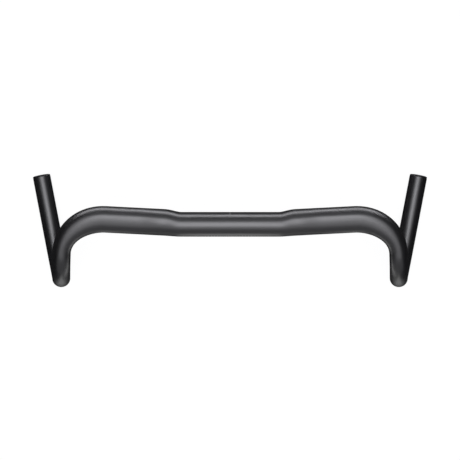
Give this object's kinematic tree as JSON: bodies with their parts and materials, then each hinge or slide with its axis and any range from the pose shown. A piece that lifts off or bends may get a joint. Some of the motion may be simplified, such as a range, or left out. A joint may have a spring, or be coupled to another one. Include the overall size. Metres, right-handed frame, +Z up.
{
  "type": "drop handlebar",
  "caption": "Bare satin black drop handlebar with flared hooks, oval backswept tops and a screw-expanded plug in each cut end.",
  "frame": {"origin": "centre of the round seat that the stem clamps, on the seat's axis", "axes": "+Z up, -Y forward along the bicycle, +X towards the rider's left hand"},
  "size_m": [0.5368, 0.152, 0.1425],
  "materials": {
    "bar_satin_black": "bead blasted and anodised satin black",
    "cap_black_nylon": "moulded black nylon, fine texture",
    "sleeve_grey_nylon": "moulded grey nylon",
    "wedge_black_nylon": "moulded glass-filled black nylon",
    "zinc_steel": "bright zinc plated steel"
  },
  "bodies": {
    "bar": {"bar_tube": "bar_satin_black"},
    "left_plug": {"left_end_cap": "cap_black_nylon", "left_expander_sleeve": "sleeve_grey_nylon"},
    "left_wedge_set": {"left_wedge": "wedge_black_nylon", "left_wedge_nut": "zinc_steel"},
    "left_screw": {"left_draw_screw": "zinc_steel"},
    "right_plug": {"right_end_cap": "cap_black_nylon", "right_expander_sleeve": "sleeve_grey_nylon"},
    "right_wedge_set": {"right_wedge": "wedge_black_nylon", "right_wedge_nut": "zinc_steel"},
    "right_screw": {"right_draw_screw": "zinc_steel"}
  },
  "joints": [
    {"name": "left_plug_pull", "type": "slide", "parent": "bar", "child": "left_plug", "axis": [0.194, 0.9796, -0.0523], "range_m": [0, 0.045]},
    {"name": "left_screw_turn", "type": "hinge", "parent": "left_plug", "child": "left_screw", "pos_m": [0.257, 0.0668, -0.115], "axis": [0.194, 0.9796, -0.0523], "range_deg": [0, 1081]},
    {"name": "left_wedge_slide", "type": "slide", "parent": "left_plug", "child": "left_wedge_set", "axis": [-0.194, -0.9796, 0.0523], "range_m": [0, 0.0021]},
    {"name": "right_plug_pull", "type": "slide", "parent": "bar", "child": "right_plug", "axis": [-0.194, 0.9796, -0.0523], "range_m": [0, 0.045]},
    {"name": "right_screw_turn", "type": "hinge", "parent": "right_plug", "child": "right_screw", "pos_m": [-0.257, 0.0668, -0.115], "axis": [-0.194, 0.9796, -0.0523], "range_deg": [0, 1081]},
    {"name": "right_wedge_slide", "type": "slide", "parent": "right_plug", "child": "right_wedge_set", "axis": [0.194, -0.9796, 0.0523], "range_m": [0, 0.0021]}
  ],
  "couplings": [
    {"joint": "left_screw_turn", "follows": "left_wedge_slide", "rad_per_m": 8976},
    {"joint": "right_screw_turn", "follows": "right_wedge_slide", "rad_per_m": 8976}
  ]
}
